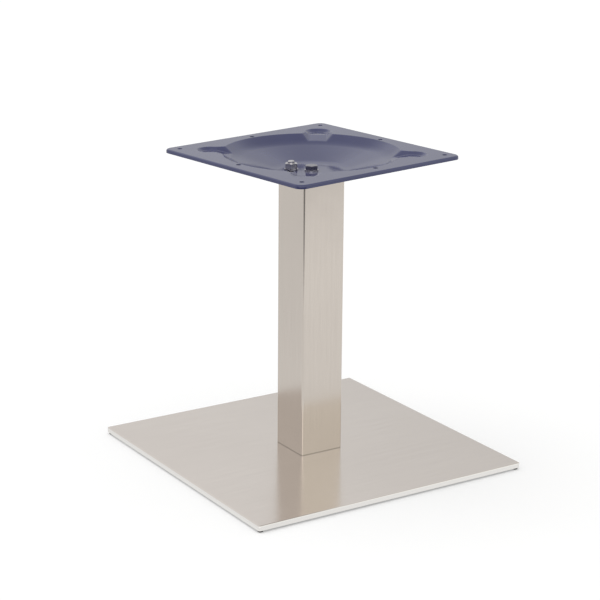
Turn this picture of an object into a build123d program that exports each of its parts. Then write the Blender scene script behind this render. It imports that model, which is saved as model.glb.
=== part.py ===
from build123d import *
from math import cos, hypot, pi, radians, tan
import os

os.makedirs("parts", exist_ok=True)

# Driving sizes in millimetres. The floor is z = 0 and the column stands on the z axis.

# Whole base
BASE_SIDE = 450.0
OVERALL_HEIGHT = 460.0

# Base cover, a shallow tray that lies upside down over the weight
COVER_SHEET = 1.0
COVER_BEND_RADIUS = 1.6
COVER_CORNER_RADIUS = 3.0

# Base weight, the slab inside the cover
WEIGHT_THICKNESS = 6.5
WEIGHT_CLEARANCE = 0.4
WEIGHT_CORNER_RADIUS = 3.0
WEIGHT_EDGE_CHAMFER = 0.8

# Glides, pressed into the weight near its corners
GLIDE_DIAMETER = 8.0
GLIDE_HEIGHT = 3.0
GLIDE_EDGE_RADIUS = 0.8
GLIDE_INSET = 5.5
GLIDE_PIN_DIAMETER = 4.0
GLIDE_PIN_LENGTH = 5.5
GLIDE_PIN_CHAMFER = 0.6

# Column, a square tube
COLUMN_SIDE = 70.0
COLUMN_WALL = 1.5
COLUMN_CORNER_RADIUS = 2.5

# Plates welded inside the two ends of the column
FOOT_PLATE_THICKNESS = 10.0
HEAD_PLATE_THICKNESS = 10.0
END_PLATE_CLEARANCE = 0.1
END_PLATE_CHAMFER = 1.5

# Countersunk screws from below, through weight and cover into the foot plate
SCREW_THREAD = 8.0
SCREW_LENGTH = 16.0
SCREW_HEAD_DIAMETER = 16.0
SCREW_HEAD_ANGLE = 90.0
SCREW_SPACING = 40.0
SCREW_HOLE = 9.0
SCREW_HEAD_RECESS = 0.3
SCREW_SOCKET_WIDTH = 5.0
SCREW_SOCKET_DEPTH = 2.3

# Pressed top plate, with its rim turned down
PLATE_SIDE = 305.0
PLATE_SHEET = 2.5
PLATE_TURN = 8.25
PLATE_CORNER_RADIUS = 12.0
PLATE_RIM_DEPTH = 5.5
PLATE_BEND_RADIUS = 3.0
PLATE_HOLE_INSET = 17.5
PLATE_HOLE_DIAMETER = 7.0
PLATE_SIDE_HOLES = 4

# Dish in the top plate: a flat floor, a shallow cone and a steep shoulder
DISH_MARGIN = 22.5
DISH_DEPTH = 28.0
DISH_FLOOR_MARGIN = 1.5
DISH_FLOOR_BLEND = 60.0
DISH_SHOULDER_WIDTH = 17.0
DISH_SHOULDER_DEPTH = 11.0
DISH_SHOULDER_BLEND = 40.0
PRESSED_EDGE_RADIUS = 3.0

# Channels pressed along the diagonals of the top plate, level at first and then running down into the dish
CHANNEL_COUNT = 4
CHANNEL_START_ANGLE = 45.0
CHANNEL_OVERRUN = 36.0
CHANNEL_LEVEL_RUN = 7.5
CHANNEL_RAMP_DROP = 5.5
CHANNEL_DEPTH = 4.0
CHANNEL_FLOOR_WIDTH = 27.0
CHANNEL_FLOOR_RADIUS = 4.0
CHANNEL_WALL_SLOPE = 34.0
CHANNEL_MOUTH_RADIUS = 12.0

# Bolt, stud, nut and washers that hold the top plate
BOLT_THREAD = 10.0
BOLT_HOLE = 10.5
BOLT_LENGTH = 20.0
BOLT_HEAD_HEIGHT = 6.4
NUT_HEIGHT = 8.0
HEX_SIDES = 6
HEX_WIDTH = 17.0
HEX_BEVEL_ANGLE = 30.0
STUD_RISE = 3.5
STUD_OFFSET = 30.0
STUD_ANGLE = 135.0
LOCATING_SLOT_ANGLE = 20.0
WASHER_DIAMETER = 20.0
WASHER_THICKNESS = 2.0
THREAD_END_CHAMFER = 1.0

# Fits, as gaps on the radius
THREAD_CLEARANCE = 0.05
PIN_CLEARANCE = 0.05

# Heights closer than this are the same level
SAME_LEVEL = 0.01

# Heights and widths that follow from the driving sizes
weight_top = GLIDE_HEIGHT + WEIGHT_THICKNESS
cover_top = weight_top + COVER_SHEET
rim_underside = OVERALL_HEIGHT - PLATE_SHEET
dish_radius = PLATE_SIDE / 2 - DISH_MARGIN
shoulder_radius = dish_radius - DISH_SHOULDER_WIDTH
dish_floor_radius = hypot(COLUMN_SIDE, COLUMN_SIDE) / 2 + DISH_FLOOR_MARGIN
channel_reach = dish_radius + CHANNEL_OVERRUN
plate_hole_spacing = PLATE_SIDE - 2 * PLATE_HOLE_INSET
dish_floor = OVERALL_HEIGHT - DISH_DEPTH
column_top = dish_floor - PLATE_SHEET
washer_top = dish_floor + WASHER_THICKNESS
nut_top = washer_top + NUT_HEIGHT
tube_bore = COLUMN_SIDE - 2 * COLUMN_WALL
end_plate_side = tube_bore - 2 * END_PLATE_CLEARANCE
weight_side = BASE_SIDE - 2 * (COVER_SHEET + WEIGHT_CLEARANCE)
glide_spacing = BASE_SIDE - 2 * GLIDE_INSET
screw_face = GLIDE_HEIGHT + SCREW_HEAD_RECESS
screw_head_height = (SCREW_HEAD_DIAMETER - SCREW_THREAD) / 2 / tan(radians(SCREW_HEAD_ANGLE / 2))
screw_sink_radius = SCREW_HEAD_DIAMETER / 2 + SCREW_HEAD_RECESS + THREAD_CLEARANCE
tapped_radius = BOLT_THREAD / 2 + THREAD_CLEARANCE

# The upper face of the top plate, turned on the column
plate_face = Plane(origin=(0, 0, OVERALL_HEIGHT)).rotated((0, 0, PLATE_TURN))

# Corners of the base. The front is -Y and the left is -X
CORNERS = {"front_left": (-1, -1), "front_right": (1, -1), "back_right": (1, 1), "back_left": (-1, 1)}

STANDING = (Align.CENTER, Align.CENTER, Align.MIN)


def save(builder, name):
    """Labels a finished piece and writes it to its own file."""
    builder.part.label = name
    export_step(builder.part, f"parts/{name}.step")


# Base cover: a tray with rounded bends, open below, with a hole for each base screw
with BuildPart() as base_cover:
    with BuildSketch(Plane.XY.offset(GLIDE_HEIGHT)):
        RectangleRounded(BASE_SIDE, BASE_SIDE, COVER_CORNER_RADIUS)
    extrude(amount=WEIGHT_THICKNESS + COVER_SHEET)
    fillet(base_cover.faces().sort_by(Axis.Z)[-1].edges(), COVER_BEND_RADIUS)
    offset(amount=-COVER_SHEET, openings=base_cover.faces().sort_by(Axis.Z)[0])
    with BuildSketch(Plane.XY.offset(weight_top)):
        with GridLocations(SCREW_SPACING, SCREW_SPACING, 2, 2):
            Circle(SCREW_HOLE / 2)
    extrude(amount=COVER_SHEET, mode=Mode.SUBTRACT)
save(base_cover, "base_cover")

# Base weight: a slab with countersunk holes from below and a hole for each glide's pin
with BuildPart() as base_weight:
    with BuildSketch(Plane.XY.offset(GLIDE_HEIGHT)):
        RectangleRounded(weight_side, weight_side, WEIGHT_CORNER_RADIUS)
    extrude(amount=WEIGHT_THICKNESS)
    chamfer(base_weight.faces().sort_by(Axis.Z)[-1].edges(), WEIGHT_EDGE_CHAMFER)
    with Locations(base_weight.faces().sort_by(Axis.Z)[0]):
        with GridLocations(SCREW_SPACING, SCREW_SPACING, 2, 2):
            CounterSinkHole(SCREW_HOLE / 2, screw_sink_radius, counter_sink_angle=SCREW_HEAD_ANGLE)
        with GridLocations(glide_spacing, glide_spacing, 2, 2):
            Hole(GLIDE_PIN_DIAMETER / 2 + PIN_CLEARANCE)
save(base_weight, "base_weight")

# Glides: a round foot with a pin, one near each corner
for corner, (right, back) in CORNERS.items():
    with BuildPart() as glide:
        with Locations((right * glide_spacing / 2, back * glide_spacing / 2, 0)):
            Cylinder(GLIDE_DIAMETER / 2, GLIDE_HEIGHT, align=STANDING)
            fillet(glide.faces().sort_by(Axis.Z)[0].edges(), GLIDE_EDGE_RADIUS)
            Cylinder(GLIDE_PIN_DIAMETER / 2, GLIDE_HEIGHT + GLIDE_PIN_LENGTH, align=STANDING)
        chamfer(glide.faces().sort_by(Axis.Z)[-1].edges(), GLIDE_PIN_CHAMFER)
    save(glide, f"glide_{corner}")

# Column: a square tube between the cover and the dish
with BuildPart() as column:
    with BuildSketch(Plane.XY.offset(cover_top)):
        RectangleRounded(COLUMN_SIDE, COLUMN_SIDE, COLUMN_CORNER_RADIUS)
        RectangleRounded(tube_bore, tube_bore, COLUMN_CORNER_RADIUS - COLUMN_WALL, mode=Mode.SUBTRACT)
    extrude(amount=column_top - cover_top)
save(column, "column")

# Foot plate: closes the bottom of the column and takes the base screws
with BuildPart() as foot_plate:
    with BuildSketch(Plane.XY.offset(cover_top)):
        Rectangle(end_plate_side, end_plate_side)
        chamfer(vertices(), END_PLATE_CHAMFER)
        with GridLocations(SCREW_SPACING, SCREW_SPACING, 2, 2):
            Circle(SCREW_THREAD / 2 + THREAD_CLEARANCE, mode=Mode.SUBTRACT)
    extrude(amount=FOOT_PLATE_THICKNESS)
save(foot_plate, "foot_plate")

# Head plate: closes the top of the column, tapped for the centre bolt and the locating stud
with BuildPart() as head_plate:
    with BuildSketch(Plane.XY.offset(column_top)):
        Rectangle(end_plate_side, end_plate_side)
        chamfer(vertices(), END_PLATE_CHAMFER)
        Circle(tapped_radius, mode=Mode.SUBTRACT)
        with PolarLocations(STUD_OFFSET, 1, STUD_ANGLE):
            Circle(tapped_radius, mode=Mode.SUBTRACT)
    extrude(amount=-HEAD_PLATE_THICKNESS)
save(head_plate, "head_plate")

# Base screws: a countersunk head with a hexagon socket, one in each hole of the weight
for corner, (right, back) in CORNERS.items():
    with BuildPart() as base_screw:
        with Locations((right * SCREW_SPACING / 2, back * SCREW_SPACING / 2, screw_face)):
            Cylinder(SCREW_THREAD / 2, SCREW_LENGTH, align=STANDING)
            chamfer(base_screw.faces().sort_by(Axis.Z)[-1].edges(), THREAD_END_CHAMFER)
            Cone(SCREW_HEAD_DIAMETER / 2, SCREW_THREAD / 2, screw_head_height, align=STANDING)
        with BuildSketch(base_screw.faces().sort_by(Axis.Z)[0]):
            RegularPolygon(SCREW_SOCKET_WIDTH / 2, HEX_SIDES, major_radius=False)
        extrude(amount=-SCREW_SOCKET_DEPTH, mode=Mode.SUBTRACT)
    save(base_screw, f"base_screw_{corner}")


def dish_plug(growth, lid):
    """The room that the dish takes up, larger all round by growth and cut off level at the height lid."""
    with BuildPart() as plug:
        with BuildSketch(Plane.XZ):
            with BuildLine():
                wall = FilletPolyline(
                    (0, -DISH_DEPTH),
                    (dish_floor_radius, -DISH_DEPTH),
                    (shoulder_radius, -DISH_SHOULDER_DEPTH),
                    (dish_radius + DISH_SHOULDER_WIDTH, DISH_SHOULDER_DEPTH),
                    radius=(DISH_FLOOR_BLEND, DISH_SHOULDER_BLEND),
                )
                Polyline(wall @ 1, (0, DISH_SHOULDER_DEPTH), wall @ 0)
            make_face()
            if growth:
                offset(amount=growth)
            with Locations((0, lid)):
                Rectangle(2 * dish_radius, 2 * DISH_DEPTH, align=(Align.MIN, Align.MAX), mode=Mode.INTERSECT)
        revolve(axis=Axis.Z)
    return plug.part


def channel_plug(growth, lid):
    """The room that one channel takes up along +X: a ramp out of the dish, a level run and a round end."""
    wall_slope = radians(CHANNEL_WALL_SLOPE)
    floor_half = CHANNEL_FLOOR_WIDTH / 2 + growth * tan(wall_slope / 2)
    floor = -CHANNEL_DEPTH - growth
    round_centre = channel_reach - CHANNEL_DEPTH / tan(wall_slope) - CHANNEL_FLOOR_WIDTH / 2
    ramp_start = round_centre - CHANNEL_LEVEL_RUN
    with BuildPart() as plug:
        for place, low in ((shoulder_radius, floor - CHANNEL_RAMP_DROP), (ramp_start, floor)):
            top_half = floor_half + (lid - low) / tan(wall_slope)
            with BuildSketch(Plane.YZ.offset(place)) as section:
                with BuildLine():
                    outline = ((-floor_half, low), (floor_half, low), (top_half, lid), (-top_half, lid))
                    Polyline(outline, close=True)
                make_face()
        loft(ruled=True)
        extrude(section.sketch, amount=CHANNEL_LEVEL_RUN)
        with Locations((round_centre, 0, floor)):
            Cone(
                floor_half,
                top_half,
                lid - floor,
                arc_size=180,
                rotation=(0, 0, -90),
                align=(Align.NONE, Align.NONE, Align.MIN),
            )
        floors = plug.faces().filter_by(lambda face: face.normal_at().Z < -0.9)
        sides = floors.edges().filter_by(lambda edge: edge.center().Y != 0 or edge.center().X > round_centre)
        fillet(sides, CHANNEL_FLOOR_RADIUS + growth)
    return plug.part


def pressed_form(growth, lid):
    """The room of the dish and all its channels, with the edges between them rounded."""
    with BuildPart() as form:
        add(dish_plug(growth, lid))
        with PolarLocations(0, CHANNEL_COUNT, CHANNEL_START_ANGLE):
            add(channel_plug(growth, lid))
        mouths = form.edges(Select.NEW).filter_by(lambda edge: edge.center().Z < lid - SAME_LEVEL)
        fillet(mouths, CHANNEL_MOUTH_RADIUS - growth)
    return form.part


# The hollow reaches the plate's face. The outer form ends halfway through the sheet and joins it there
hollow_form = pressed_form(0, 0)
outer_form = pressed_form(PLATE_SHEET, -PLATE_SHEET / 2)

# Top plate: one pressed sheet with a turned-down rim, rounded corners, a dish and channels
with BuildPart() as top_plate:
    with BuildSketch(plate_face.offset(-PLATE_RIM_DEPTH)):
        RectangleRounded(PLATE_SIDE, PLATE_SIDE, PLATE_CORNER_RADIUS)
    extrude(amount=PLATE_RIM_DEPTH)
    fillet(top_plate.faces().sort_by(Axis.Z)[-1].edges(), PLATE_BEND_RADIUS)
    offset(amount=-PLATE_SHEET, openings=top_plate.faces().sort_by(Axis.Z)[0])
    with Locations(plate_face):
        add(outer_form)
    near_levels = (rim_underside - SAME_LEVEL, rim_underside + SAME_LEVEL)
    underside = top_plate.faces().filter_by_position(Axis.Z, *near_levels).sort_by(SortBy.AREA)[-1]
    fillet(underside.inner_wires()[0].edges(), PRESSED_EDGE_RADIUS + PLATE_SHEET)
    with Locations(plate_face):
        add(hollow_form, mode=Mode.SUBTRACT)
    fillet(top_plate.faces().sort_by(Axis.Z)[-1].inner_wires()[0].edges(), PRESSED_EDGE_RADIUS)
    with Locations(plate_face):
        with GridLocations(plate_hole_spacing, plate_hole_spacing, 2, 2):
            Hole(PLATE_HOLE_DIAMETER / 2)
        with PolarLocations(plate_hole_spacing / 2, PLATE_SIDE_HOLES):
            Hole(PLATE_HOLE_DIAMETER / 2)
    with BuildSketch(plate_face.offset(-DISH_DEPTH)):
        Circle(BOLT_HOLE / 2)
        with BuildLine(mode=Mode.PRIVATE):
            slot_start = STUD_ANGLE - LOCATING_SLOT_ANGLE / 2
            slot_line = CenterArc((0, 0), STUD_OFFSET, slot_start, LOCATING_SLOT_ANGLE)
        SlotArc(slot_line, BOLT_HOLE)
    extrude(amount=-PLATE_SHEET, mode=Mode.SUBTRACT)
save(top_plate, "top_plate")


def bevelled_hexagon(height, bevel_below):
    """A hexagon that stands on z = 0, with its corners bevelled above, and below too if asked."""
    flat = HEX_WIDTH / 2
    corner = flat / cos(pi / HEX_SIDES)
    bevel = (corner - flat) * tan(radians(HEX_BEVEL_ANGLE))
    with BuildPart() as hexagon:
        with BuildSketch():
            RegularPolygon(flat, HEX_SIDES, major_radius=False)
        extrude(amount=height)
        with BuildSketch(Plane.XZ):
            Rectangle(corner, height, align=Align.MIN)
            with BuildLine():
                Polyline((flat, height), (corner, height), (corner, height - bevel), close=True)
            make_face(mode=Mode.SUBTRACT)
            if bevel_below:
                with BuildLine():
                    Polyline((flat, 0), (corner, 0), (corner, bevel), close=True)
                make_face(mode=Mode.SUBTRACT)
        revolve(axis=Axis.Z, mode=Mode.INTERSECT)
    return hexagon.part


bolt_head = bevelled_hexagon(BOLT_HEAD_HEIGHT, False)
nut_blank = bevelled_hexagon(NUT_HEIGHT, True)

# Centre bolt: through washer and dish floor into the head plate
with BuildPart() as centre_bolt:
    with Locations((0, 0, washer_top)):
        add(bolt_head)
        Cylinder(BOLT_THREAD / 2, BOLT_LENGTH, align=(Align.CENTER, Align.CENTER, Align.MAX))
    chamfer(centre_bolt.faces().sort_by(Axis.Z)[0].edges(), THREAD_END_CHAMFER)
save(centre_bolt, "centre_bolt")

# Locating stud: screwed into the head plate, standing up through the slot in the dish
with BuildPart() as locating_stud:
    stud_foot = column_top - HEAD_PLATE_THICKNESS
    with BuildSketch(Plane.XY.offset(stud_foot)):
        with PolarLocations(STUD_OFFSET, 1, STUD_ANGLE):
            Circle(BOLT_THREAD / 2)
    extrude(amount=nut_top + STUD_RISE - stud_foot)
    chamfer(locating_stud.faces().filter_by(Axis.Z).edges(), THREAD_END_CHAMFER)
save(locating_stud, "locating_stud")

# Locating nut
with BuildPart() as locating_nut:
    with Locations(Plane.XY.offset(washer_top)):
        with PolarLocations(STUD_OFFSET, 1, STUD_ANGLE, rotate=False):
            add(nut_blank)
            Hole(tapped_radius)
save(locating_nut, "locating_nut")

# Washers under the bolt's head and under the nut
for name, distance in (("centre_washer", 0), ("locating_washer", STUD_OFFSET)):
    with BuildPart() as washer:
        with BuildSketch(Plane.XY.offset(dish_floor)):
            with PolarLocations(distance, 1, STUD_ANGLE):
                Circle(WASHER_DIAMETER / 2)
                Circle(BOLT_HOLE / 2, mode=Mode.SUBTRACT)
        extrude(amount=WASHER_THICKNESS)
    save(washer, name)
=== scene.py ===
from math import cos, pi, radians, sin

import bpy
from mathutils import Matrix, Vector


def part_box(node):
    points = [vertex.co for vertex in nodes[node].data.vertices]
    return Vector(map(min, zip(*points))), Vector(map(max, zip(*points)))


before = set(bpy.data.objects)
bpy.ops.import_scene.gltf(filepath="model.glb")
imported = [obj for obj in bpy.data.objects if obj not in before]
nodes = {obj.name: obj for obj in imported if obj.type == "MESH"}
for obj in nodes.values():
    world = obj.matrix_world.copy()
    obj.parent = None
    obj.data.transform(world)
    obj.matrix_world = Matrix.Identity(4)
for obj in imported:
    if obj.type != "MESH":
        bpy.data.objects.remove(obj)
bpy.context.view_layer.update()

scene = bpy.context.scene

# Camera, at the photograph's viewpoint. Its focal length in pixels is for a frame 600 pixels wide
FRAME_PIXELS = 600
FOCAL_PIXELS = 1921.5
SENSOR_WIDTH = 36.0
CAMERA_PLACE = Vector((-1.4728, -2.2735, 1.0504))
CAMERA_YAW = radians(32.616)
CAMERA_PITCH = radians(16.709)
CAMERA_ROLL = radians(0.431)

forward = Vector((
    sin(CAMERA_YAW) * cos(CAMERA_PITCH),
    cos(CAMERA_YAW) * cos(CAMERA_PITCH),
    -sin(CAMERA_PITCH),
))
level_right = Vector((cos(CAMERA_YAW), -sin(CAMERA_YAW), 0))
level_up = level_right.cross(forward)
right = cos(CAMERA_ROLL) * level_right + sin(CAMERA_ROLL) * level_up
up = cos(CAMERA_ROLL) * level_up - sin(CAMERA_ROLL) * level_right

camera_data = bpy.data.cameras.new("camera")
camera_data.sensor_width = SENSOR_WIDTH
camera_data.lens = FOCAL_PIXELS / FRAME_PIXELS * SENSOR_WIDTH
camera_data.clip_start = 0.05
camera_data.clip_end = 100
camera = bpy.data.objects.new("camera", camera_data)
camera.matrix_world = Matrix.Translation(CAMERA_PLACE) @ Matrix((right, up, -forward)).transposed().to_4x4()
scene.collection.objects.link(camera)
scene.camera = camera


# Helpers for node materials
def new_material(name):
    """A material with a principled shader and nothing else."""
    material = bpy.data.materials.new(name)
    material.use_nodes = True
    tree = material.node_tree
    tree.nodes.clear()
    output = tree.nodes.new("ShaderNodeOutputMaterial")
    shader = tree.nodes.new("ShaderNodeBsdfPrincipled")
    tree.links.new(shader.outputs["BSDF"], output.inputs["Surface"])
    return material, tree, shader


def noise(tree, scale, detail=3.0, stretch=(1, 1, 1), distortion=0.0):
    """Noise over the object's own coordinates; a small stretch value draws it out along that axis."""
    coordinates = tree.nodes.new("ShaderNodeTexCoord")
    mapping = tree.nodes.new("ShaderNodeMapping")
    mapping.inputs["Scale"].default_value = stretch
    texture = tree.nodes.new("ShaderNodeTexNoise")
    texture.inputs["Scale"].default_value = scale
    texture.inputs["Detail"].default_value = detail
    texture.inputs["Distortion"].default_value = distortion
    tree.links.new(coordinates.outputs["Object"], mapping.inputs["Vector"])
    tree.links.new(mapping.outputs["Vector"], texture.inputs["Vector"])
    return texture.outputs["Fac"]


def spread(tree, value, low, high, start=0.3, end=0.7):
    """Maps value from start..end to low..high."""
    node = tree.nodes.new("ShaderNodeMapRange")
    node.inputs["From Min"].default_value = start
    node.inputs["From Max"].default_value = end
    node.inputs["To Min"].default_value = low
    node.inputs["To Max"].default_value = high
    tree.links.new(value, node.inputs["Value"])
    return node.outputs["Result"]


def blend_colours(tree, factor, first, second):
    """first where factor is 0, second where it is 1. Either may be a colour or a socket."""
    node = tree.nodes.new("ShaderNodeMix")
    node.data_type = "RGBA"
    tree.links.new(factor, node.inputs["Factor"])
    for name, colour in (("A", first), ("B", second)):
        socket = [item for item in node.inputs if item.name == name and item.type == "RGBA"][0]
        if isinstance(colour, tuple):
            socket.default_value = (*colour, 1)
        else:
            tree.links.new(colour, socket)
    return [item for item in node.outputs if item.type == "RGBA"][0]


def arithmetic(tree, operation, first, second):
    """A math node; either side may be a number or a socket."""
    node = tree.nodes.new("ShaderNodeMath")
    node.operation = operation
    for socket, value in zip(node.inputs, (first, second)):
        if isinstance(value, (int, float)):
            socket.default_value = value
        else:
            tree.links.new(value, socket)
    return node.outputs["Value"]


def bump(tree, shader, height, distance, strength=1.0):
    """Gives the shader a bump from height, in metres."""
    node = tree.nodes.new("ShaderNodeBump")
    node.inputs["Strength"].default_value = strength
    node.inputs["Distance"].default_value = distance
    tree.links.new(height, node.inputs["Height"])
    tree.links.new(node.outputs["Normal"], shader.inputs["Normal"])


def dress(names, material):
    """Puts the material on the named CAD nodes."""
    for name in names:
        slots = nodes[name].data.materials
        slots.clear()
        slots.append(material)


def facing_up(tree):
    """1 on level faces, 0 on upright ones, by the face's own direction."""
    geometry = tree.nodes.new("ShaderNodeNewGeometry")
    parts = tree.nodes.new("ShaderNodeSeparateXYZ")
    tree.links.new(geometry.outputs["True Normal"], parts.inputs["Vector"])
    return spread(tree, arithmetic(tree, "ABSOLUTE", parts.outputs["Z"], 0.0), 0, 1, 0.25, 0.8)


# Brushed steel. The painted shade line is a dark line painted at the foot of the column, where shade falls
# in the joint with the cover, with its height in metres
HAIRLINE_SCALE = 2600
BROAD_LINE_SCALE = 420
GRAIN_STRETCH = 0.008
GRAIN_DEPTH = 0.000008
LINE_SHADE = 0.84
PAINTED_SHADE_LINE = 0.0016
PAINTED_SHADE_SHARE = 0.55
PAINTED_SHADE_COLOUR = (0.10, 0.09, 0.08)


def brushed_steel(name, grain, colour, shade, roughness, painted_side_highlight=None, painted_joint_shade=None):
    """Steel brushed along grain; painted_side_highlight is a painted highlight on upright faces,
    painted_joint_shade the height of a painted shade line.
    """
    material, tree, shader = new_material(name)
    stretch = tuple(GRAIN_STRETCH if axis else 1.0 for axis in grain)
    hairlines = noise(tree, HAIRLINE_SCALE, 2.0, stretch)
    broad_lines = noise(tree, BROAD_LINE_SCALE, 3.0, stretch)
    clouds = noise(tree, 5, 2.0)
    smears = noise(tree, 34, 4.0, distortion=0.6)
    streaks = arithmetic(tree, "MULTIPLY_ADD", hairlines, 0.7)
    tree.links.new(arithmetic(tree, "MULTIPLY", broad_lines, 0.3), streaks.node.inputs[2])
    tint = blend_colours(tree, spread(tree, clouds, 0, 1), colour, shade)
    darker = tuple(channel * LINE_SHADE for channel in shade)
    base = blend_colours(tree, spread(tree, streaks, 0.30, 0.0, 0.38, 0.58), tint, darker)
    # Painted highlight: upright faces get a lighter colour than level ones, standing in for their brighter
    # reflection
    if painted_side_highlight:
        base = blend_colours(tree, facing_up(tree), painted_side_highlight, base)
    # Painted shade: a dark line at the column's foot, standing in for the shade where it meets the cover
    if painted_joint_shade:
        place = tree.nodes.new("ShaderNodeTexCoord")
        parts = tree.nodes.new("ShaderNodeSeparateXYZ")
        tree.links.new(place.outputs["Object"], parts.inputs["Vector"])
        foot_shade_mask = spread(tree, parts.outputs["Z"], PAINTED_SHADE_SHARE, 0, painted_joint_shade, painted_joint_shade + PAINTED_SHADE_LINE)
        base = blend_colours(tree, foot_shade_mask, base, PAINTED_SHADE_COLOUR)
    tree.links.new(base, shader.inputs["Base Color"])
    rough = arithmetic(tree, "ADD", spread(tree, streaks, roughness - 0.03, roughness + 0.04),
                       spread(tree, smears, -0.01, 0.02))
    tree.links.new(rough, shader.inputs["Roughness"])
    shader.inputs["Metallic"].default_value = 1.0
    shader.inputs["Anisotropic"].default_value = 0.75
    shader.inputs["Anisotropic Rotation"].default_value = 0.25
    tangent = tree.nodes.new("ShaderNodeCombineXYZ")
    for socket, value in zip(tangent.inputs, grain):
        socket.default_value = value
    tree.links.new(tangent.outputs["Vector"], shader.inputs["Tangent"])
    bump(tree, shader, streaks, GRAIN_DEPTH)
    return material


# The cover's upright faces carry a painted highlight, a lighter colour than its top
dress(["base_cover"], brushed_steel(
    "cover_steel",
    grain=(1, 0, 0),
    colour=(0.690, 0.635, 0.590),
    shade=(0.670, 0.615, 0.570),
    roughness=0.16,
    painted_side_highlight=(0.89, 0.87, 0.84),
))
# The column's foot carries a painted shade line
dress(["column"], brushed_steel(
    "column_steel",
    grain=(0, 0, 1),
    colour=(0.690, 0.630, 0.570),
    shade=(0.665, 0.605, 0.548),
    roughness=0.18,
    painted_joint_shade=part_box("column")[0][2],
))

# Blue-black paint of the top plate
material, tree, shader = new_material("plate_paint")
peel = noise(tree, 700, 2.0)
clouds = noise(tree, 14, 3.0)
scuffs = noise(tree, 60, 5.0, distortion=1.2)
paint = blend_colours(tree, spread(tree, clouds, 0, 1), (0.031, 0.034, 0.107), (0.041, 0.045, 0.124))
paint = blend_colours(tree, spread(tree, scuffs, 0, 0.4, 0.64, 0.80), paint, (0.075, 0.080, 0.150))
tree.links.new(paint, shader.inputs["Base Color"])
tree.links.new(spread(tree, scuffs, 0.08, 0.14), shader.inputs["Roughness"])
shader.inputs["Metallic"].default_value = 0.0
shader.inputs["Specular IOR Level"].default_value = 0.80
shader.inputs["Specular Tint"].default_value = (0.86, 0.89, 1.0, 1)
bump(tree, shader, peel, 0.00002)
dress(["top_plate"], material)

# Black primer of the weight
material, tree, shader = new_material("weight_primer")
grit = noise(tree, 700, 4.0)
clouds = noise(tree, 20, 3.0)
tree.links.new(
    blend_colours(tree, spread(tree, clouds, 0, 1), (0.020, 0.020, 0.022), (0.040, 0.039, 0.038)),
    shader.inputs["Base Color"],
)
tree.links.new(spread(tree, grit, 0.55, 0.75), shader.inputs["Roughness"])
bump(tree, shader, grit, 0.00006)
dress(["base_weight"], material)

# Bare steel of the two end plates
material, tree, shader = new_material("mill_steel")
grit = noise(tree, 500, 4.0)
clouds = noise(tree, 40, 4.0)
tree.links.new(
    blend_colours(tree, spread(tree, clouds, 0, 1), (0.34, 0.33, 0.32), (0.24, 0.23, 0.225)),
    shader.inputs["Base Color"],
)
tree.links.new(spread(tree, grit, 0.36, 0.52), shader.inputs["Roughness"])
shader.inputs["Metallic"].default_value = 1.0
bump(tree, shader, grit, 0.00003)
dress(["foot_plate", "head_plate"], material)


def zinc(name, light, dark, roughness):
    """Plated steel with a fine grit and a cloudy shine."""
    material, tree, shader = new_material(name)
    grit = noise(tree, 1500, 3.0)
    clouds = noise(tree, 180, 4.0)
    tree.links.new(blend_colours(tree, spread(tree, clouds, 0, 1), light, dark), shader.inputs["Base Color"])
    tree.links.new(spread(tree, grit, roughness - 0.05, roughness + 0.07), shader.inputs["Roughness"])
    shader.inputs["Metallic"].default_value = 1.0
    bump(tree, shader, grit, 0.00001)
    return material


# Bright zinc on the stud, nut, washers and screws, dull dark zinc on the bolt
bright_zinc = zinc("zinc_plate", (0.62, 0.60, 0.61), (0.40, 0.39, 0.41), 0.14)
dress(["locating_stud", "locating_nut", "locating_washer", "centre_washer"], bright_zinc)
dress([name for name in nodes if name.startswith("base_screw")], bright_zinc)
dress(["centre_bolt"], zinc("zinc_dull", (0.27, 0.26, 0.30), (0.17, 0.165, 0.19), 0.15))

# Black plastic of the glides
material, tree, shader = new_material("glide_plastic")
grit = noise(tree, 1200, 3.0)
tree.links.new(
    blend_colours(tree, spread(tree, grit, 0, 1), (0.012, 0.012, 0.013), (0.022, 0.022, 0.023)),
    shader.inputs["Base Color"],
)
tree.links.new(spread(tree, grit, 0.42, 0.58), shader.inputs["Roughness"])
bump(tree, shader, grit, 0.00004)
dress([name for name in nodes if name.startswith("glide")], material)

# Floor: pale and matt, brought up to white for the camera and for reflections, with the shadow kept.
# Reflections find it darker well in front of the base, as in a studio with an unlit front
FLOOR_RADIUS = 14.0
FLOOR_COLOUR = (0.74, 0.74, 0.737)
FLOOR_LIFT = 0.30
REFLECTED_FLOOR = 0.85
REFLECTED_FALL = 0.07
UNLIT_START = 0.82
UNLIT_END = 1.25
UNLIT_SHARE = 0.25
floor_mesh = bpy.data.meshes.new("floor")
ring = [(FLOOR_RADIUS * cos(step * pi / 48), FLOOR_RADIUS * sin(step * pi / 48), 0) for step in range(96)]
floor_mesh.from_pydata(ring, [], [list(range(96))])
floor = bpy.data.objects.new("floor", floor_mesh)
scene.collection.objects.link(floor)

material = bpy.data.materials.new("floor_paper")
material.use_nodes = True
tree = material.node_tree
tree.nodes.clear()
output = tree.nodes.new("ShaderNodeOutputMaterial")
matt = tree.nodes.new("ShaderNodeBsdfDiffuse")
lift = tree.nodes.new("ShaderNodeEmission")
lift.inputs["Color"].default_value = (1, 1, 1, 1)
rays = tree.nodes.new("ShaderNodeLightPath")
place = tree.nodes.new("ShaderNodeTexCoord")


def along(direction):
    """How far a point of the floor lies along the direction, in metres."""
    node = tree.nodes.new("ShaderNodeVectorMath")
    node.operation = "DOT_PRODUCT"
    node.inputs[1].default_value = direction
    tree.links.new(place.outputs["Object"], node.inputs[0])
    return node.outputs["Value"]


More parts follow.
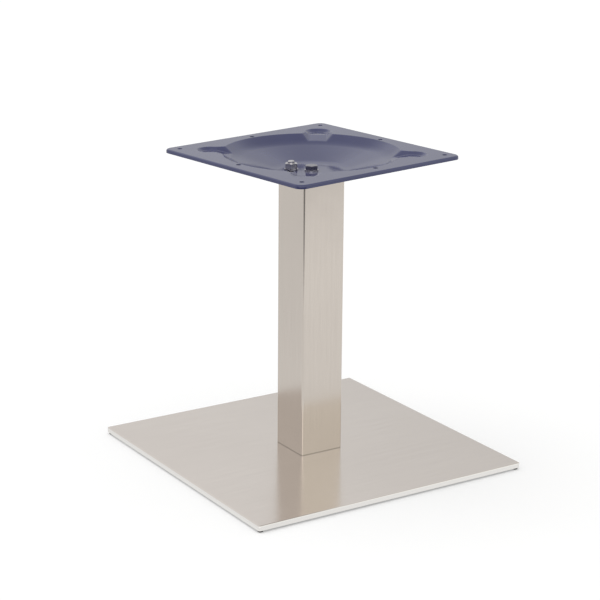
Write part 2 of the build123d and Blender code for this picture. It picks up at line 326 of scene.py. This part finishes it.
glossy = rays.outputs["Is Glossy Ray"]
unlit = spread(tree, along((-sin(CAMERA_YAW), -cos(CAMERA_YAW), 0)), 1, UNLIT_SHARE, UNLIT_START, UNLIT_END)
fall = spread(tree, along((sin(CAMERA_YAW), -cos(CAMERA_YAW), 0)), -REFLECTED_FALL, REFLECTED_FALL, -1, 1)
reflected = arithmetic(tree, "MULTIPLY", unlit, arithmetic(tree, "ADD", fall, REFLECTED_FLOOR))
tree.links.new(blend_colours(tree, glossy, FLOOR_COLOUR, (0, 0, 0)), matt.inputs["Color"])
seen = arithmetic(tree, "MULTIPLY", rays.outputs["Is Camera Ray"], FLOOR_LIFT)
reflected = arithmetic(tree, "MULTIPLY", glossy, reflected)
tree.links.new(arithmetic(tree, "ADD", seen, reflected), lift.inputs["Strength"])
total = tree.nodes.new("ShaderNodeAddShader")
tree.links.new(matt.outputs["BSDF"], total.inputs[0])
tree.links.new(lift.outputs["Emission"], total.inputs[1])
tree.links.new(total.outputs["Shader"], output.inputs["Surface"])
floor_mesh.materials.append(material)

# World: plain white for the camera and soft white light from all round. Reflections find a room shaped for
# this viewpoint: darker near the horizon and to the right, brighter at the front and the front right
AMBIENT = 0.85
GLOW = 0.22
FRONT_RIGHT_LIGHT = 0.36
FRONT_LIGHT = 0.9
world = bpy.data.worlds.new("studio")
world.use_nodes = True
scene.world = world
tree = world.node_tree
tree.nodes.clear()
output = tree.nodes.new("ShaderNodeOutputWorld")
sky = tree.nodes.new("ShaderNodeBackground")
rays = tree.nodes.new("ShaderNodeLightPath")
direction = tree.nodes.new("ShaderNodeTexCoord")
parts = tree.nodes.new("ShaderNodeSeparateXYZ")
tree.links.new(direction.outputs["Generated"], parts.inputs["Vector"])


def towards(way):
    """How closely a direction of the sky agrees with the given one."""
    node = tree.nodes.new("ShaderNodeVectorMath")
    node.operation = "DOT_PRODUCT"
    node.inputs[1].default_value = way
    tree.links.new(direction.outputs["Generated"], node.inputs[0])
    return node.outputs["Value"]


low = spread(tree, parts.outputs["Z"], 0.73, 0.85, 0.20, 0.31)
glow = arithmetic(tree, "SUBTRACT", spread(tree, parts.outputs["Z"], 0, GLOW, 0.37, 0.50),
                  spread(tree, parts.outputs["Z"], 0, GLOW, 0.56, 0.74))
low = arithmetic(tree, "ADD", low, glow)
backdrop = arithmetic(tree, "MULTIPLY", low, spread(tree, towards(level_right), 1.0, 0.88, -0.05, 0.12))
front_right = spread(tree, towards((sin(CAMERA_YAW), -cos(CAMERA_YAW), 0)), 0, 1, 0.55, 0.92)
front = spread(tree, towards((-sin(CAMERA_YAW), -cos(CAMERA_YAW), 0)), 0, FRONT_LIGHT, 0.72, 0.92)
reflected = arithmetic(tree, "ADD", backdrop, arithmetic(tree, "MULTIPLY", front_right, FRONT_RIGHT_LIGHT))
reflected = arithmetic(tree, "ADD", reflected, front)
tree.links.new(blend_colours(tree, front_right, (1, 1, 1), (1.0, 1.02, 0.985)), sky.inputs["Color"])
bounced = arithmetic(tree, "SUBTRACT", 1.0, rays.outputs["Is Camera Ray"])
plain = spread(tree, bounced, 1.0, AMBIENT, 0, 1)
difference = arithmetic(tree, "SUBTRACT", reflected, AMBIENT)
tree.links.new(
    arithmetic(tree, "ADD", plain, arithmetic(tree, "MULTIPLY", difference, rays.outputs["Is Glossy Ray"])),
    sky.inputs["Strength"],
)
tree.links.new(sky.outputs["Background"], output.inputs["Surface"])

# One broad lamp from the back left, for the soft shadow
SUN_POWER = 0.55
sun_data = bpy.data.lights.new("key_light", "SUN")
sun_data.energy = SUN_POWER
sun_data.angle = radians(50)
sun = bpy.data.objects.new("key_light", sun_data)
sun.rotation_euler = Vector((0.45, -0.55, -1.3)).to_track_quat("-Z", "Y").to_euler()
sun.visible_glossy = False
scene.collection.objects.link(sun)

scene.view_settings.view_transform = "Standard"
